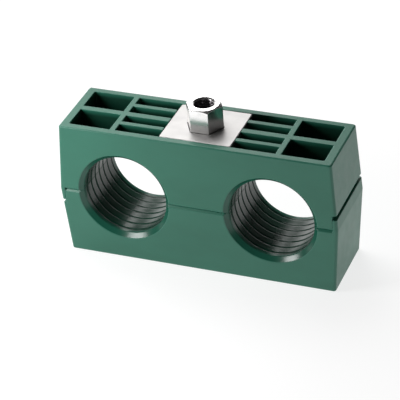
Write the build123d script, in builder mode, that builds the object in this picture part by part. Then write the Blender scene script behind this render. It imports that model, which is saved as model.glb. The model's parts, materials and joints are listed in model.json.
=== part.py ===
from build123d import *

import os
from math import radians, tan

# Twin hydraulic tube clamp: two identical moulded halves, a locking plate and a stacking bolt.
# The origin is the centre of the base. X runs along the clamp, Y along the tubes and Z up.
# All sizes are millimetres and all angles are degrees.

# Tubes and clamp body
tube_radius = 16.0
tube_spacing = 56.0
body_length = 106.0
body_depth = 30.0
half_height = 26.5
end_draft = 3.85
side_draft = 1.5
corner_radius = 1.0
rim_chamfer = 0.4
parting_groove = 0.8

# Walls and ribs of one half
side_wall = 2.6
end_wall = 3.2
sleeve_wall = 3.0
floor_wall = 2.5
cross_rib = 2.0
cross_rib_outset = 3.2
centre_rib = 2.4
slot_rib = 1.8
boss_radius = 8.0
pocket_radius = 0.6

# Ribbed lining of the bores
land_width = 3.2
groove_width = 0.9
groove_pitch = 3.6
groove_depth = 0.3
mouth_chamfer = 1.65

# Tongue and recess that lock the halves together
tongue_thickness = 1.8
tongue_height = 4.5
tongue_clearance = 0.1
shadow_gap = 1.8

# Locking plate
plate_length = 27.0
plate_thickness = 2.0
plate_clearance = 0.2
plate_corner_radius = 0.8
plate_edge_chamfer = 0.25

# Stacking bolt
hexagon_width = 12.0
hexagon_standout = 9.2
hexagon_clearance = 0.2
hexagon_bevel = 30.0
bevel_face_radius = 5.6
shank_radius = 4.0
shank_clearance = 0.5
shank_chamfer = 0.8
shank_recess = 1.0
tapped_radius = 3.4
tapped_depth = 10.0
tapped_mouth = 0.7
drill_point = 118.0

# Places worked out from the sizes above
top_half_depth = body_depth / 2 - half_height * tan(radians(side_draft))
top_half_length = body_length / 2 - half_height * tan(radians(end_draft))
cavity_half_depth = top_half_depth - side_wall
cavity_half_length = top_half_length - end_wall
recess_height = tongue_height + shadow_gap
parting_half_length = body_length / 2 - tongue_thickness - tongue_clearance
floor_height = recess_height + floor_wall
seat_height = half_height - plate_thickness
sleeve_radius = tube_radius + sleeve_wall
cross_rib_place = tube_spacing / 2 + cross_rib_outset
slot_rib_place = (cavity_half_depth + slot_rib / 2) / 2
plate_recess_length = plate_length + 2 * plate_clearance
plate_depth = 2 * (cavity_half_depth - plate_clearance)
shank_hole_radius = shank_radius + shank_clearance
groove_count = int((body_depth - 2 * land_width - groove_width) / groove_pitch) + 1
groove_corners = ((0, -groove_width / 2), (groove_depth, 0), (0, groove_width / 2), (-groove_depth, 0))
hexagon_height = plate_thickness + hexagon_standout
bevel_slope = tan(radians(hexagon_bevel))
shank_length = half_height + seat_height - shank_recess
drill_slope = 1 / tan(radians(drill_point / 2))

upper_seat = Plane((0, 0, half_height), x_dir=(1, 0, 0), z_dir=(0, 0, 1))
lower_seat = Plane((0, 0, half_height), x_dir=(-1, 0, 0), z_dir=(0, 0, -1))
plate_seat = Plane((0, 0, half_height + seat_height))
tube_plane = Plane.XZ
bolt_plane = Plane.XZ.shift_origin((0, 0, half_height + seat_height))


def outer_block():
    """Drafted block that gives a half its outside, with its parting face on XY."""
    with BuildPart() as block:
        with BuildSketch(tube_plane):
            Trapezoid(body_length, half_height, 90 - end_draft, align=(Align.CENTER, Align.MIN))
        extrude(amount=body_depth / 2, both=True)
        with BuildSketch(Plane.YZ):
            Trapezoid(body_depth, half_height, 90 - side_draft, align=(Align.CENTER, Align.MIN))
        extrude(amount=body_length / 2, both=True, mode=Mode.INTERSECT)
        fillet(block.edges().group_by(SortBy.LENGTH)[0], corner_radius)
        chamfer(block.faces().sort_by(Axis.Z)[-1].edges(), rim_chamfer)
    return block.part


def clamp_half():
    """One moulded half with its parting face on XY and its outer face up."""
    block = outer_block()

    with BuildPart() as tongue:
        mirror(block, about=Plane.XY)
        with BuildSketch(Plane.XY):
            with Locations((-body_length / 2, 0)):
                Rectangle(tongue_thickness, body_depth, align=(Align.MIN, Align.CENTER))
        extrude(amount=-tongue_height, mode=Mode.INTERSECT)

    with BuildPart() as half:
        add(block)

        # Cavity between the four walls, closed towards the parting face
        with BuildSketch(Plane.XY.offset(half_height)):
            RectangleRounded(2 * cavity_half_length, 2 * cavity_half_depth, pocket_radius)
        extrude(amount=floor_height - half_height, mode=Mode.SUBTRACT)

        # Sleeves that carry the tube bores through the cavity
        with BuildSketch(tube_plane):
            with GridLocations(tube_spacing, 0, 2, 1):
                Circle(sleeve_radius)
            Rectangle(body_length, half_height, align=(Align.CENTER, Align.MIN), mode=Mode.INTERSECT)
        extrude(amount=cavity_half_depth, both=True)

        # Ribs across and along the cavity
        with BuildSketch(Plane.XY):
            Rectangle(2 * cavity_half_length, centre_rib)
            with GridLocations(2 * cross_rib_place, 0, 2, 1):
                Rectangle(cross_rib, 2 * cavity_half_depth)
            with GridLocations(0, 2 * slot_rib_place, 1, 2):
                Rectangle(2 * cross_rib_place, slot_rib)
            Circle(boss_radius)
        extrude(amount=half_height)

        # Recess of the locking plate and hole of the bolt
        with BuildSketch(Plane.XY.offset(half_height)):
            Rectangle(plate_recess_length, 2 * cavity_half_depth)
        extrude(amount=-plate_thickness, mode=Mode.SUBTRACT)
        with BuildSketch(Plane.XY):
            Circle(shank_hole_radius)
        extrude(amount=seat_height, mode=Mode.SUBTRACT)

        # Tube bores with chamfered mouths
        with BuildSketch(tube_plane):
            with GridLocations(tube_spacing, 0, 2, 1):
                Circle(tube_radius)
        extrude(amount=body_depth, both=True, mode=Mode.SUBTRACT)
        side_faces = half.faces().filter_by(GeomType.PLANE).group_by(Axis.Y)
        for side_face in (side_faces[0], side_faces[-1]):
            mouths = side_face.edges().filter_by(GeomType.LINE, reverse=True)
            mouths = mouths.filter_by(lambda edge: edge.length > tube_radius)
            chamfer(mouths, mouth_chamfer)

        # Bevel of the parting line, which stops at the tongues
        with BuildSketch(Plane.YZ):
            with GridLocations(body_depth, 0, 2, 1):
                RegularPolygon(parting_groove, 4)
        extrude(amount=parting_half_length, both=True, mode=Mode.SUBTRACT)

        # V-shaped grooves round the bores, which leave the gripping ribs
        for side in (-1, 1):
            with BuildSketch(Plane.XY):
                with Locations((side * (tube_spacing / 2 + tube_radius), 0)):
                    with GridLocations(0, groove_pitch, 1, groove_count):
                        Polygon(*groove_corners, align=None)
            revolve(axis=Axis((side * tube_spacing / 2, 0, 0), (0, 1, 0)), mode=Mode.SUBTRACT)

        # Recess for the other half's tongue, and this half's own tongue
        with BuildSketch(Plane.XY):
            with Locations((parting_half_length, 0)):
                Rectangle(body_length, 2 * body_depth, align=(Align.MIN, Align.CENTER))
        extrude(amount=recess_height, mode=Mode.SUBTRACT)
        add(tongue.part)

    return half.part


moulding = clamp_half()

with BuildPart() as lower_half:
    add(moulding.moved(lower_seat.location))

with BuildPart() as upper_half:
    add(moulding.moved(upper_seat.location))

with BuildPart() as locking_plate:
    # Plate whose hexagonal hole keeps the bolt from turning
    with BuildSketch(plate_seat):
        RectangleRounded(plate_length, plate_depth, plate_corner_radius)
    extrude(amount=plate_thickness)
    chamfer(locking_plate.faces().sort_by(Axis.Z)[-1].edges(), plate_edge_chamfer)
    with BuildSketch(plate_seat):
        RegularPolygon(hexagon_width / 2 + hexagon_clearance, 6, major_radius=False)
    extrude(amount=plate_thickness, mode=Mode.SUBTRACT)

with BuildPart() as stacking_bolt:
    # Hexagon that stands on the seat, bevelled at the top
    with BuildSketch(plate_seat):
        RegularPolygon(hexagon_width / 2, 6, major_radius=False)
    extrude(amount=hexagon_height)
    with BuildSketch(bolt_plane):
        with BuildLine():
            Polyline(
                (0, 0),
                (hexagon_width, 0),
                (hexagon_width, hexagon_height - (hexagon_width - bevel_face_radius) * bevel_slope),
                (bevel_face_radius, hexagon_height),
                (0, hexagon_height),
                close=True,
            )
        make_face()
    revolve(axis=Axis.Z, mode=Mode.INTERSECT)

    # Shank through both halves
    with BuildSketch(plate_seat):
        Circle(shank_radius)
    extrude(amount=-shank_length)
    chamfer(stacking_bolt.faces().sort_by(Axis.Z)[0].edges(), shank_chamfer)

    # Tapped hole for the bolt of the next clamp in the stack
    with BuildSketch(bolt_plane):
        with BuildLine():
            Polyline(
                (0, hexagon_height),
                (tapped_radius + tapped_mouth, hexagon_height),
                (tapped_radius, hexagon_height - tapped_mouth),
                (tapped_radius, hexagon_height - tapped_depth),
                (0, hexagon_height - tapped_depth - tapped_radius * drill_slope),
                close=True,
            )
        make_face()
    revolve(axis=Axis.Z, mode=Mode.SUBTRACT)

os.makedirs("parts", exist_ok=True)
for node, label in (
    (lower_half, "lower_half"),
    (upper_half, "upper_half"),
    (locking_plate, "locking_plate"),
    (stacking_bolt, "stacking_bolt"),
):
    node.part.label = label
    export_step(node.part, f"parts/{label}.step")
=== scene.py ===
"""Looks of the twin tube clamp: plastic, plated metals, the threaded bolt, studio light and the camera.

Lengths are metres. MM turns millimetres into metres.
"""

import json
import math

import bpy
from mathutils import Matrix, Vector


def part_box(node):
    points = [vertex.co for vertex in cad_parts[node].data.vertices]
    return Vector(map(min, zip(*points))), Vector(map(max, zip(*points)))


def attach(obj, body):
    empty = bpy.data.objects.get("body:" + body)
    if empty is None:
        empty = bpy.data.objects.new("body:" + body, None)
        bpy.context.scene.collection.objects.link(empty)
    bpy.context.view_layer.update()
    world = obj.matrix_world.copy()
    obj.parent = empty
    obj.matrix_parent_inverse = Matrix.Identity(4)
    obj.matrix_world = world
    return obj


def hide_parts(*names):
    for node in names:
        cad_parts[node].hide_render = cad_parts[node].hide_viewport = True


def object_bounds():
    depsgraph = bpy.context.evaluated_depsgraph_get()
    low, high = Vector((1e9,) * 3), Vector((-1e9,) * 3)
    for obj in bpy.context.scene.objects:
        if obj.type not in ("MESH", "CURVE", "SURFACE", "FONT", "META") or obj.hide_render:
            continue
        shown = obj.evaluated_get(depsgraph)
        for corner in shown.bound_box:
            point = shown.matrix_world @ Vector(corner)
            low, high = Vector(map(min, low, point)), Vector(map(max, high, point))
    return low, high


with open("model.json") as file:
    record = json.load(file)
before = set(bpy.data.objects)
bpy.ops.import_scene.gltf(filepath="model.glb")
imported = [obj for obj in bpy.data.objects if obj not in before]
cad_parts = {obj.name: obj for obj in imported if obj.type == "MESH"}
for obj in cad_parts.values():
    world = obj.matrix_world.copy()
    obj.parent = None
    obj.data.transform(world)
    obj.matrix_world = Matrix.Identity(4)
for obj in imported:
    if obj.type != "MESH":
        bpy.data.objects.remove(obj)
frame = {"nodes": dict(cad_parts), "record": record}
cad_low, cad_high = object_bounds()
nodes = frame["nodes"]
mounts = {mount["name"]: mount for mount in frame["record"]["mounts"]}
bolt_low, bolt_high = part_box("stacking_bolt")

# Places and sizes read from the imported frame
MM = 0.001
LENGTH = cad_high[0] - cad_low[0]
PARTING_HEIGHT = mounts["tube_bore_left"]["pos_m"][2]
BORE_OFFSET = abs(mounts["tube_bore_left"]["pos_m"][0])
BORE_RADIUS = mounts["tube_bore_left"]["dims"]["r_mm"] * MM
TAPPED_RADIUS = mounts["stacking_thread"]["dims"]["r_mm"] * MM
HALF_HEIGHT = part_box("upper_half")[1][2] - PARTING_HEIGHT
SEAT_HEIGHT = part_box("locking_plate")[0][2]
BOLT_END = bolt_low[2]
BOLT_TOP = bolt_high[2]

# Camera, given by its angles round a point just left of the clamp's centre
CAMERA_AZIMUTH = math.radians(23.57)
CAMERA_ELEVATION = math.radians(33.22)
CAMERA_ROLL = math.radians(-4.5)
CAMERA_DISTANCE = 0.7326
CAMERA_TARGET = Vector((-0.0029, -0.0037, PARTING_HEIGHT - 0.0035))
CAMERA_LENS = 182.5
CAMERA_SENSOR = 36

# Bolt: hexagon with its turned bevel, shank and tapped hole
HEX_APOTHEM = 6.0 * MM
BEVEL_FACE_RADIUS = 5.6 * MM
BEVEL_SLOPE = math.tan(math.radians(30))
SHANK_RADIUS = 4.0 * MM
SHANK_CHAMFER = 0.8 * MM
TAPPED_MOUTH = 0.7 * MM
TAPPED_DEPTH = 10.0 * MM
DRILL_POINT = math.radians(118)

# Thread (M8): the root's flat and the flank are shares of half a pitch
THREAD_PITCH = 1.25 * MM
THREAD_DEPTH = 0.61 * MM
THREAD_LENGTH = 24 * MM
THREAD_ROOT = 0.12
THREAD_FLANK = 0.70
SHANK_RUNOUT_PITCHES = 2
TAPPED_RUNOUT_PITCHES = 1
TAPPED_START = 0.4 * TAPPED_MOUTH

# Mesh of the bolt
BOLT_SEGMENTS = 72
ROWS_PER_PITCH = 8
SHARP_ANGLE = math.radians(28)

# Masks: their soft edge, how far they reach and the depths between which they fade in
MASK_EDGE = 0.1 * MM
MOUTH_CHAMFER = 1.65 * MM
LINING_REACH = BORE_RADIUS + 0.35 * MM
LIP_REACH = BORE_RADIUS + MOUTH_CHAMFER - 0.1 * MM
# The pockets that take the painted shade
POCKET_HALF_LENGTH = 48.05 * MM
POCKET_HALF_DEPTH = 11.75 * MM
POCKET_FADE = (2.0 * MM, 0.2 * MM)
# The tapped hole's painted shade fades in between these depths
HOLE_TOP_FADE = (1.0 * MM, 0.2 * MM)
HOLE_END_FADE = (1.5 * MM, 1.0 * MM)

# Colours, linear
MOULDING_GREEN = (0.0165, 0.138, 0.088, 1)
MOULDING_PALE = (0.022, 0.162, 0.106, 1)
# Painted highlight along the edges
EDGE_HIGHLIGHT_GREEN = (0.060, 0.310, 0.225, 1)
# Painted shade in the lips and bores
LIP_AND_BORE_SHADE_GREEN = (0.004, 0.050, 0.030, 1)
# Painted shade in the pockets
POCKET_SHADE_GREEN = (0.003, 0.035, 0.020, 1)
ZINC = (0.93, 0.92, 0.91, 1)
ZINC_DULL = (0.66, 0.65, 0.66, 1)
# Painted shade in the tapped hole
HOLE_SHADE_GREY = (0.16, 0.15, 0.16, 1)
SHEET = (0.51, 0.50, 0.49, 1)
SHEET_DULL = (0.42, 0.41, 0.41, 1)
FLOOR_WHITE = (0.30, 0.30, 0.30, 1)
WHITE = (1, 1, 1, 1)

# How far a mask takes the plastic towards its painted highlight or painted shade colour
EDGE_HIGHLIGHT_SHARE = 0.6
LIP_AND_BORE_SHADE_SHARE = 0.5
POCKET_SHADE_SHARE = 0.93

# Cosine between a face's own and its rounded normal where the painted edge highlight is full, and where it
# starts
EDGE_HIGHLIGHT_COSINES = (0.75, 0.99)

# Gloss of the plastic in the bores
LIP_ROUGHNESS = 0.24
LINING_ROUGHNESS = 0.27

# Studio: the lit wall's limits are parts of a view direction of length 1
SKY_LIGHT = 0.03
WALL_LIGHT = 1.9
WALL_TOP = (0.25, 0.42)
WALL_BACK = (0.0, 0.4)
WALL_RIGHT = (0.0, 0.5)
FLOOR_GLOW = 0.80
FLOOR_GAP = 0.05 * MM
FLOOR_REACH = 40 * LENGTH
KEY_LIGHT = {"place": (-0.125, -0.095, 0.110), "size": 0.07, "power": 0.21}
OVERHEAD_LIGHT = {"place": (-0.18, 0.20, 0.42), "size": 0.36, "power": 1.8}


# ---------------------------------------------------------------- node helpers

class Shader:
    """A small wrapper that makes nodes and links in a material, or in a tree that is given."""

    def __init__(self, name=None, tree=None):
        self.tree = tree
        if name:
            self.material = bpy.data.materials.new(name)
            self.material.use_nodes = True
            self.tree = self.material.node_tree
            self.principled = self.tree.nodes["Principled BSDF"]

    def node(self, kind, **settings):
        made = self.tree.nodes.new(kind)
        for key, value in settings.items():
            setattr(made, key, value)
        return made

    def link(self, source, target):
        self.tree.links.new(source, target)

    def math(self, operation, *values):
        """One math node, fed with numbers or with the outputs of other nodes."""
        made = self.node("ShaderNodeMath", operation=operation)
        for socket, value in zip(made.inputs, values):
            if isinstance(value, (int, float)):
                socket.default_value = value
            else:
                self.link(value, socket)
        return made.outputs[0]

    def length(self, *parts):
        """Length of a vector that has two parts."""
        squares = [self.math("POWER", part, 2) for part in parts]
        return self.math("SQRT", self.math("ADD", *squares))

    def place(self, stretch=(1, 1, 1)):
        """The surface point in metres, stretched so that a texture runs along one axis."""
        coordinates = self.node("ShaderNodeTexCoord")
        mapping = self.node("ShaderNodeMapping")
        mapping.inputs["Scale"].default_value = stretch
        self.link(coordinates.outputs["Object"], mapping.inputs["Vector"])
        return mapping.outputs["Vector"]

    def split(self, vector):
        """The X, Y and Z of a vector."""
        separate = self.node("ShaderNodeSeparateXYZ")
        self.link(vector, separate.inputs[0])
        return separate.outputs

    def noise(self, vector, scale, detail, roughness=0.5):
        made = self.node("ShaderNodeTexNoise")
        made.inputs["Scale"].default_value = scale
        made.inputs["Detail"].default_value = detail
        made.inputs["Roughness"].default_value = roughness
        self.link(vector, made.inputs["Vector"])
        return made.outputs["Fac"]

    def ramp(self, factor, low, high, start=0.0, end=1.0):
        """Factor spread from start..end to low..high."""
        made = self.node("ShaderNodeMapRange")
        made.inputs["From Min"].default_value = start
        made.inputs["From Max"].default_value = end
        made.inputs["To Min"].default_value = low
        made.inputs["To Max"].default_value = high
        self.link(factor, made.inputs["Value"])
        return made.outputs["Result"]

    def below(self, factor, start, end):
        """1 where a factor is under start, falling to 0 at end."""
        return self.ramp(factor, 1.0, 0.0, start, end)

    def mix(self, factor, first, second, kind="RGBA"):
        made = self.node("ShaderNodeMix", data_type=kind)
        sockets = [socket for socket in made.inputs if socket.enabled]
        self.link(factor, sockets[0])
        for socket, value in zip(sockets[1:], (first, second)):
            if isinstance(value, (int, float, tuple)):
                socket.default_value = value
            else:
                self.link(value, socket)
        return next(socket for socket in made.outputs if socket.enabled)

    def tint(self, colour, mask, share, paint):
        """A colour that a mask of 1 takes by a share towards a paint."""
        return self.mix(self.ramp(mask, 0, share), colour, paint)

    def rounded(self, width):
        """The surface normal, rounded over a width at the edges."""
        bevel = self.node("ShaderNodeBevel", samples=6)
        bevel.inputs["Radius"].default_value = width
        return bevel.outputs["Normal"]

    def edge_highlight_mask(self, rounded):
        """Where the painted edge highlight goes: 0 on flat faces, rising to 1 where the rounded normal
        leaves the face's own.
        """
        geometry = self.node("ShaderNodeNewGeometry")
        dot = self.node("ShaderNodeVectorMath", operation="DOT_PRODUCT")
        self.link(rounded, dot.inputs[0])
        self.link(geometry.outputs["True Normal"], dot.inputs[1])
        return self.below(dot.outputs["Value"], *EDGE_HIGHLIGHT_COSINES)

    def bump(self, height, strength, distance, normal):
        made = self.node("ShaderNodeBump")
        made.inputs["Strength"].default_value = strength
        made.inputs["Distance"].default_value = distance
        self.link(height, made.inputs["Height"])
        self.link(normal, made.inputs["Normal"])
        return made.outputs["Normal"]


def bore_mask(shader, reach):
    """1 on what lies within a reach of the axes of the two tube bores, 0 elsewhere."""
    point = shader.split(shader.place())
    aside = shader.math("SUBTRACT", shader.math("ABSOLUTE", point["X"]), BORE_OFFSET)
    above = shader.math("SUBTRACT", point["Z"], PARTING_HEIGHT)
    return shader.below(shader.length(aside, above), reach - MASK_EDGE, reach)


def pocket_shade_mask(shader):
    """Where the painted shade goes: 1 inside the moulded pockets of both halves, below their rims, 0
    elsewhere.
    """
    point = shader.split(shader.place())
    above = shader.math("ABSOLUTE", shader.math("SUBTRACT", point["Z"], PARTING_HEIGHT))
    deep = shader.below(above, *(HALF_HEIGHT - depth for depth in POCKET_FADE))
    along = shader.math("ABSOLUTE", point["X"])
    across = shader.math("ABSOLUTE", point["Y"])
    in_length = shader.below(along, POCKET_HALF_LENGTH, POCKET_HALF_LENGTH + MASK_EDGE)
    in_depth = shader.below(across, POCKET_HALF_DEPTH, POCKET_HALF_DEPTH + MASK_EDGE)
    return shader.math("MULTIPLY", deep, shader.math("MULTIPLY", in_length, in_depth))


def hole_shade_mask(shader):
    """Where the painted shade goes: 1 on the wall of the bolt's tapped hole, 0 elsewhere."""
    point = shader.split(shader.place())
    distance = shader.length(point["X"], point["Y"])
    inside = shader.below(distance, SHANK_RADIUS - MASK_EDGE, SHANK_RADIUS + MASK_EDGE)
    deep = shader.below(point["Z"], *(BOLT_TOP - depth for depth in HOLE_TOP_FADE))
    in_head = shader.ramp(point["Z"], 0.0, 1.0, *(SEAT_HEIGHT - depth for depth in HOLE_END_FADE))
    return shader.math("MULTIPLY", in_head, shader.math("MULTIPLY", inside, deep))


# ---------------------------------------------------------------- materials

def plastic_colour(shader, rounded):
    """Flow marks over the green, a painted highlight along the edges, and painted shade darkening the lips,
    bores and pockets.
    """
    flow = shader.noise(shader.place(stretch=(1, 1, 2.2)), scale=38, detail=5, roughness=0.55)
    colour = shader.mix(shader.ramp(flow, low=0, high=1, start=0.3, end=0.7), MOULDING_GREEN, MOULDING_PALE)
    # Painted highlight: the edges turn a paler green
    colour = shader.tint(colour, shader.edge_highlight_mask(rounded), EDGE_HIGHLIGHT_SHARE, EDGE_HIGHLIGHT_GREEN)
    # Painted shade: the lips and bores turn a darker green
    colour = shader.tint(colour, bore_mask(shader, LIP_REACH), LIP_AND_BORE_SHADE_SHARE, LIP_AND_BORE_SHADE_GREEN)
    # Painted shade: the pockets turn a near-black green
    return shader.tint(colour, pocket_shade_mask(shader), POCKET_SHADE_SHARE, POCKET_SHADE_GREEN)


def plastic_roughness(shader):
    """Satin skin outside, glossier where the core pins polish the lips and the bores."""
    skin = shader.ramp(shader.noise(shader.place(), scale=260, detail=4), low=0.34, high=0.48)
    roughness = shader.mix(bore_mask(shader, LIP_REACH), skin, LIP_ROUGHNESS, kind="FLOAT")
    return shader.mix(bore_mask(shader, LINING_REACH), roughness, LINING_ROUGHNESS, kind="FLOAT")


def moulded_plastic(name):
    """Green polypropylene with a fine grain and shallow sink marks."""
    shader = Shader(name)
    rounded = shader.rounded(width=0.5 * MM)
    speckle = shader.noise(shader.place(), scale=900, detail=2)
    waves = shader.noise(shader.place(), scale=70, detail=2)
    grain = shader.bump(speckle, strength=0.10, distance=0.02 * MM, normal=rounded)
    sink = shader.bump(waves, strength=0.12, distance=0.2 * MM, normal=grain)
    shader.link(plastic_colour(shader, rounded), shader.principled.inputs["Base Color"])
    shader.link(plastic_roughness(shader), shader.principled.inputs["Roughness"])
    shader.link(sink, shader.principled.inputs["Normal"])
    return shader.material


def zinc_sheet(name):
    """Zinc-plated sheet: satin, with the rolling direction along the clamp."""
    shader = Shader(name)
    rolled = shader.noise(shader.place(stretch=(30, 900, 30)), scale=2.0, detail=4, roughness=0.6)
    cloud = shader.noise(shader.place(), scale=180, detail=4)
    colour = shader.mix(shader.ramp(cloud, low=0, high=0.5, start=0.35, end=0.7), SHEET, SHEET_DULL)
    rounded = shader.rounded(width=0.25 * MM)
    lines = shader.bump(rolled, strength=0.12, distance=0.02 * MM, normal=rounded)
    shader.link(colour, shader.principled.inputs["Base Color"])
    shader.principled.inputs["Metallic"].default_value = 1.0
    shader.link(shader.ramp(rolled, low=0.46, high=0.60), shader.principled.inputs["Roughness"])
    shader.link(lines, shader.principled.inputs["Normal"])
    return shader.material


def bright_bolt(name):
    """Bright zinc over machined flats, with painted shade darkening the tapped hole."""
    shader = Shader(name)
    stain = shader.noise(shader.place(), scale=320, detail=4)
    turned = shader.noise(shader.place(stretch=(80, 80, 1400)), scale=2.0, detail=3)
    colour = shader.mix(shader.ramp(stain, low=0, high=0.4, start=0.4, end=0.75), ZINC, ZINC_DULL)
    # Painted shade: the tapped hole turns dark grey
    colour = shader.mix(hole_shade_mask(shader), colour, HOLE_SHADE_GREY)
    rounded = shader.rounded(width=0.3 * MM)
    marks = shader.bump(turned, strength=0.06, distance=0.02 * MM, normal=rounded)
    shader.link(colour, shader.principled.inputs["Base Color"])
    shader.principled.inputs["Metallic"].default_value = 1.0
    shader.link(shader.ramp(stain, low=0.16, high=0.28), shader.principled.inputs["Roughness"])
    shader.link(marks, shader.principled.inputs["Normal"])
    return shader.material


def studio_floor(name):
    """Matt white that glows a little, so that it stays as pale as the background."""
    shader = Shader(name)
    shader.principled.inputs["Base Color"].default_value = FLOOR_WHITE
    shader.principled.inputs["Roughness"].default_value = 0.9
    shader.principled.inputs["Specular IOR Level"].default_value = 0.0
    shader.principled.inputs["Emission Color"].default_value = WHITE
    shader.principled.inputs["Emission Strength"].default_value = FLOOR_GLOW
    return shader.material


# ---------------------------------------------------------------- bolt

def between_0_and_1(value):
    return min(1.0, max(0.0, value))


def hexagon_reach(angle):
    """Distance from the axis to the hexagon's flats at an angle; the corners lie on X."""
    from_flat = (angle % (math.pi / 3)) - math.pi / 6
    return HEX_APOTHEM / math.cos(from_flat)


def thread_height(angle, height):
    """0 at the root and 1 at the crest of a right-handed thread."""
    turn = (height / THREAD_PITCH - angle / math.tau) % 1.0
    return between_0_and_1((abs(2 * turn - 1) - THREAD_ROOT) / THREAD_FLANK)


def shank_rows(angle):
    """Radius and height of each ring of the shank, from its end up to the head."""
    start = BOLT_END + SHANK_CHAMFER / 2
    count = round(THREAD_LENGTH / THREAD_PITCH) * ROWS_PER_PITCH
    rows = [(0.0, BOLT_END), (SHANK_RADIUS - SHANK_CHAMFER, BOLT_END)]
    for row in range(count + 1):
        height = start + THREAD_LENGTH * row / count
        entry = min(SHANK_RADIUS, SHANK_RADIUS - SHANK_CHAMFER + (height - BOLT_END))
        runout = between_0_and_1((count - row) / (SHANK_RUNOUT_PITCHES * ROWS_PER_PITCH))
        cut = THREAD_DEPTH * (1 - thread_height(angle, height)) * runout
        rows.append((min(entry, SHANK_RADIUS - cut), height))
    rows.append((SHANK_RADIUS, SEAT_HEIGHT))
    return rows


def head_rows(angle):
    """Radius and height of each ring of the hexagon, up to the mouth of the tapped hole."""
    reach = hexagon_reach(angle)
    bevel_end = BOLT_TOP - (reach - BEVEL_FACE_RADIUS) * BEVEL_SLOPE
    mouth = TAPPED_RADIUS + TAPPED_MOUTH
    return [(reach, SEAT_HEIGHT), (reach, bevel_end), (BEVEL_FACE_RADIUS, BOLT_TOP), (mouth, BOLT_TOP)]


def hole_rows(angle):
    """Radius and height of each ring of the tapped hole, down to the drill point."""
    start = BOLT_TOP - TAPPED_START
    end = BOLT_TOP - TAPPED_DEPTH
    count = round((start - end) / THREAD_PITCH * ROWS_PER_PITCH)
    rows = []
    for row in range(count + 1):
        height = start + (end - start) * row / count
        mouth = TAPPED_RADIUS + TAPPED_MOUTH - (BOLT_TOP - height)
        runout = between_0_and_1((count - row) / (TAPPED_RUNOUT_PITCHES * ROWS_PER_PITCH))
        groove = TAPPED_RADIUS + THREAD_DEPTH * (1 - thread_height(angle, height)) * runout
        rows.append((max(groove, mouth), height))
    rows.append((0.0, end - TAPPED_RADIUS / math.tan(DRILL_POINT / 2)))
    return rows


def turned_mesh(name, profiles):
    """One closed mesh from a profile at each step of a full turn; a radius of 0 is a single point."""
    steps = len(profiles)
    vertices = []
    rings = []
    for row, (first_radius, first_height) in enumerate(profiles[0]):
        if first_radius == 0.0:
            rings.append([len(vertices)] * steps)
            vertices.append((0, 0, first_height))
            continue
        rings.append(range(len(vertices), len(vertices) + steps))
        for step, profile in enumerate(profiles):
            angle = math.tau * step / steps
            radius, height = profile[row]
            vertices.append((radius * math.cos(angle), radius * math.sin(angle), height))
    faces = []
    for lower, upper in zip(rings, rings[1:]):
        for step in range(steps):
            after = (step + 1) % steps
            corners = (lower[step], lower[after], upper[after], upper[step])
            faces.append(tuple(dict.fromkeys(corners)))
    mesh = bpy.data.meshes.new(name)
    mesh.from_pydata(vertices, [], faces)
    return mesh


def make_bolt():
    """Hexagonal stacking bolt with its shank thread and its tapped hole."""
    angles = [math.tau * step / BOLT_SEGMENTS for step in range(BOLT_SEGMENTS)]
    profiles = [shank_rows(angle) + head_rows(angle) + hole_rows(angle) for angle in angles]
    mesh = turned_mesh("threaded_bolt", profiles)
    mesh.shade_smooth()
    mesh.set_sharp_from_angle(angle=SHARP_ANGLE)
    mesh.materials.append(bright_bolt("bolt_zinc"))
    bolt = bpy.data.objects.new("threaded_bolt", mesh)
    bpy.context.scene.collection.objects.link(bolt)
    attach(bolt, "bolt")
    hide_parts("stacking_bolt")


# ---------------------------------------------------------------- stage, light and camera

def make_floor():
    """A plane just under the clamp, so that the two don't share a level."""
    mesh = bpy.data.meshes.new("floor")
    signs = ((-1, -1), (1, -1), (1, 1), (-1, 1))
    corners = [(x * FLOOR_REACH, y * FLOOR_REACH, -FLOOR_GAP) for x, y in signs]
    mesh.from_pydata(corners, [], [(0, 1, 2, 3)])
    mesh.materials.append(studio_floor("floor_white"))
    floor = bpy.data.objects.new("floor", mesh)
    bpy.context.scene.collection.objects.link(floor)


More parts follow.
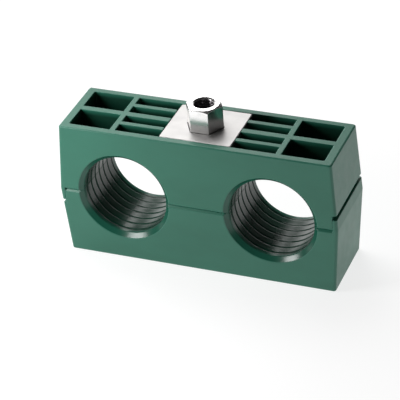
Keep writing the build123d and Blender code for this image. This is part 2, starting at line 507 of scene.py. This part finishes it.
def make_world():
    """A dim room with a lit wall behind the clamp, on its left."""
    world = bpy.data.worlds.new("studio")
    world.use_nodes = True
    shader = Shader(tree=world.node_tree)
    direction = shader.split(shader.node("ShaderNodeTexCoord").outputs["Generated"])
    low = shader.below(direction["Z"], *WALL_TOP)
    behind = shader.ramp(direction["Y"], 0.0, 1.0, *WALL_BACK)
    aside = shader.below(direction["X"], *WALL_RIGHT)
    wall = shader.math("MULTIPLY", shader.math("MULTIPLY", low, behind), aside)
    background = world.node_tree.nodes["Background"]
    background.inputs["Color"].default_value = WHITE
    shader.link(shader.ramp(wall, SKY_LIGHT, WALL_LIGHT), background.inputs["Strength"])
    bpy.context.scene.world = world


def soft_box(name, place, size, power):
    """A square area light that faces the clamp."""
    light = bpy.data.lights.new(name, "AREA")
    light.size = size
    light.energy = power
    box = bpy.data.objects.new(name, light)
    box.location = place
    box.rotation_euler = (CAMERA_TARGET - Vector(place)).to_track_quat("-Z", "Y").to_euler()
    bpy.context.scene.collection.objects.link(box)


def make_camera():
    """The photograph's camera."""
    back = Vector((
        math.sin(CAMERA_AZIMUTH) * math.cos(CAMERA_ELEVATION),
        -math.cos(CAMERA_AZIMUTH) * math.cos(CAMERA_ELEVATION),
        math.sin(CAMERA_ELEVATION),
    ))
    right = Vector((0, 0, 1)).cross(back).normalized()
    level = Matrix((right, back.cross(right), back)).transposed()
    turn = level @ Matrix.Rotation(CAMERA_ROLL, 3, "Z")
    data = bpy.data.cameras.new("camera")
    data.lens = CAMERA_LENS
    data.sensor_width = CAMERA_SENSOR
    camera = bpy.data.objects.new("camera", data)
    camera.matrix_world = Matrix.Translation(CAMERA_TARGET + back * CAMERA_DISTANCE) @ turn.to_4x4()
    bpy.context.scene.collection.objects.link(camera)
    bpy.context.scene.camera = camera


def dress(node, material):
    """Give a carried-over CAD node its material."""
    slots = nodes[node].data.materials
    slots.clear()
    slots.append(material)


bpy.context.scene.view_settings.view_transform = "Standard"
dress("lower_half", moulded_plastic("lower_plastic"))
dress("upper_half", moulded_plastic("upper_plastic"))
dress("locking_plate", zinc_sheet("plate_zinc"))
make_bolt()
make_floor()
make_world()
soft_box("key", **KEY_LIGHT)
soft_box("overhead", **OVERHEAD_LIGHT)
make_camera()
